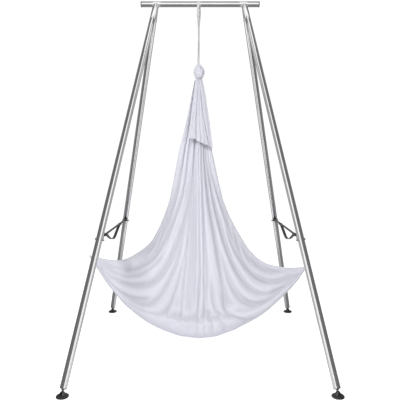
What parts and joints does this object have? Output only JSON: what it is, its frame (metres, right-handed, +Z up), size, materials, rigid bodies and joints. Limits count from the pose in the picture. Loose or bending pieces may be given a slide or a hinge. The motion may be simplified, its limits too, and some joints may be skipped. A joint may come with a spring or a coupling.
{
  "type": "aerial rig",
  "caption": "Free-standing steel rig with a top bar on splayed legs, levelling feet, side straps and a fabric yoga hammock hung from a sling.",
  "frame": {"origin": "on the floor under the middle of the bar, centred between the feet", "axes": "+X along the bar, -Y towards the front, +Z up"},
  "size_m": [1.924, 1.936, 2.9533],
  "materials": {
    "tube_steel": "polished stainless tube with a fine lengthwise brushing",
    "inner_sleeve": "plain zinc-plated sleeve, out of sight",
    "bolt_zinc": "bright zinc-plated fasteners",
    "foot_steel": "dark oiled steel thread and nut",
    "foot_cup": "bright pressed steel cup",
    "foot_rubber": "matt black moulded rubber",
    "plug_plastic": "black moulded plastic",
    "cap_grey": "grey moulded plastic end cap",
    "strap_webbing": "black woven polyester webbing",
    "keeper_elastic": "black elastic keeper",
    "buckle_plastic": "black moulded buckle and anchors",
    "lever_plastic": "black moulded lever",
    "ring_steel": "bright steel",
    "sling_webbing": "light grey woven sling",
    "hammock_fabric": "pale lavender knitted nylon with a soft sheen"
  },
  "bodies": {
    "frame": {"bar_end_cap_left": "cap_grey", "bar_end_cap_right": "cap_grey", "buckle_pins": "ring_steel", "foot_locknuts": "foot_steel", "leg_coupler_front_left": "inner_sleeve", "leg_coupler_front_right": "inner_sleeve", "leg_coupler_rear_left": "inner_sleeve", "leg_coupler_rear_right": "inner_sleeve", "leg_end_plug_front_left": "plug_plastic", "leg_end_plug_front_right": "plug_plastic", "leg_end_plug_rear_left": "plug_plastic", "leg_end_plug_rear_right": "plug_plastic", "leg_fork_left": "tube_steel", "leg_fork_right": "tube_steel", "leg_joint_bolts": "bolt_zinc", "leg_spigot_front_left": "inner_sleeve", "leg_spigot_front_right": "inner_sleeve", "leg_spigot_rear_left": "inner_sleeve", "leg_spigot_rear_right": "inner_sleeve", "leg_top_screws": "bolt_zinc", "lower_leg_front_left": "tube_steel", "lower_leg_front_right": "tube_steel", "lower_leg_rear_left": "tube_steel", "lower_leg_rear_right": "tube_steel", "strap_anchor_front_left": "buckle_plastic", "strap_anchor_front_right": "buckle_plastic", "strap_anchor_rear_left": "buckle_plastic", "strap_anchor_rear_right": "buckle_plastic", "strap_buckle_left": "buckle_plastic", "strap_buckle_right": "buckle_plastic", "strap_keepers": "keeper_elastic", "strap_tail_left": "strap_webbing", "strap_tail_right": "strap_webbing", "strap_webbing_left": "strap_webbing", "strap_webbing_right": "strap_webbing", "top_bar": "tube_steel", "upper_leg_front_left": "tube_steel", "upper_leg_front_right": "tube_steel", "upper_leg_rear_left": "tube_steel", "upper_leg_rear_right": "tube_steel"},
    "sling": {"hanging_sling": "sling_webbing", "rigging_ring": "ring_steel"},
    "hammock": {"hammock_knot": "hammock_fabric", "hammock_fabric": "hammock_fabric", "hammock_tail_front": "hammock_fabric", "hammock_tail_rear": "hammock_fabric"},
    "lever_left": {"buckle_lever_left": "lever_plastic"},
    "lever_right": {"buckle_lever_right": "lever_plastic"},
    "stem_front_left": {"foot_stem_front_left": "foot_steel"},
    "foot_front_left": {"foot_cup_front_left": "foot_cup", "foot_pad_front_left": "foot_rubber"},
    "stem_front_right": {"foot_stem_front_right": "foot_steel"},
    "foot_front_right": {"foot_cup_front_right": "foot_cup", "foot_pad_front_right": "foot_rubber"},
    "stem_rear_left": {"foot_stem_rear_left": "foot_steel"},
    "foot_rear_left": {"foot_cup_rear_left": "foot_cup", "foot_pad_rear_left": "foot_rubber"},
    "stem_rear_right": {"foot_stem_rear_right": "foot_steel"},
    "foot_rear_right": {"foot_cup_rear_right": "foot_cup", "foot_pad_rear_right": "foot_rubber"}
  },
  "joints": [
    {"name": "hammock_swing", "type": "hinge", "parent": "frame", "child": "sling", "pos_m": [-0.013, 0, 2.925], "axis": [1, 0, 0], "range_deg": [-10, 10]},
    {"name": "hammock_twist", "type": "hinge", "parent": "sling", "child": "hammock", "pos_m": [-0.013, 0, 2.344], "axis": [0, 0, 1], "range_deg": [-90, 90]},
    {"name": "buckle_lever_left_lift", "type": "hinge", "parent": "frame", "child": "lever_left", "pos_m": [-0.729, -0.4595, 1.0173], "axis": [1, 0, 0], "range_deg": [0, 75]},
    {"name": "buckle_lever_right_lift", "type": "hinge", "parent": "frame", "child": "lever_right", "pos_m": [0.729, -0.4595, 1.0173], "axis": [1, 0, 0], "range_deg": [0, 75]},
    {"name": "foot_level_front_left", "type": "slide", "parent": "frame", "child": "stem_front_left", "axis": [-0.1753, -0.2996, -0.9378], "range_m": [0, 0.02]},
    {"name": "foot_tilt_front_left", "type": "hinge", "parent": "stem_front_left", "child": "foot_front_left", "pos_m": [-0.919, -0.925, 0.03], "axis": [-0.8631, 0.5051, 0], "range_deg": [-10, 10]},
    {"name": "foot_level_front_right", "type": "slide", "parent": "frame", "child": "stem_front_right", "axis": [0.1753, -0.2996, -0.9378], "range_m": [0, 0.02]},
    {"name": "foot_tilt_front_right", "type": "hinge", "parent": "stem_front_right", "child": "foot_front_right", "pos_m": [0.919, -0.925, 0.03], "axis": [-0.8631, -0.5051, 0], "range_deg": [-10, 10]},
    {"name": "foot_level_rear_left", "type": "slide", "parent": "frame", "child": "stem_rear_left", "axis": [-0.1753, 0.2996, -0.9378], "range_m": [0, 0.02]},
    {"name": "foot_tilt_rear_left", "type": "hinge", "parent": "stem_rear_left", "child": "foot_rear_left", "pos_m": [-0.919, 0.925, 0.03], "axis": [0.8631, 0.5051, 0], "range_deg": [-10, 10]},
    {"name": "foot_level_rear_right", "type": "slide", "parent": "frame", "child": "stem_rear_right", "axis": [0.1753, 0.2996, -0.9378], "range_m": [0, 0.02]},
    {"name": "foot_tilt_rear_right", "type": "hinge", "parent": "stem_rear_right", "child": "foot_rear_right", "pos_m": [0.919, 0.925, 0.03], "axis": [0.8631, -0.5051, 0], "range_deg": [-10, 10]}
  ]
}
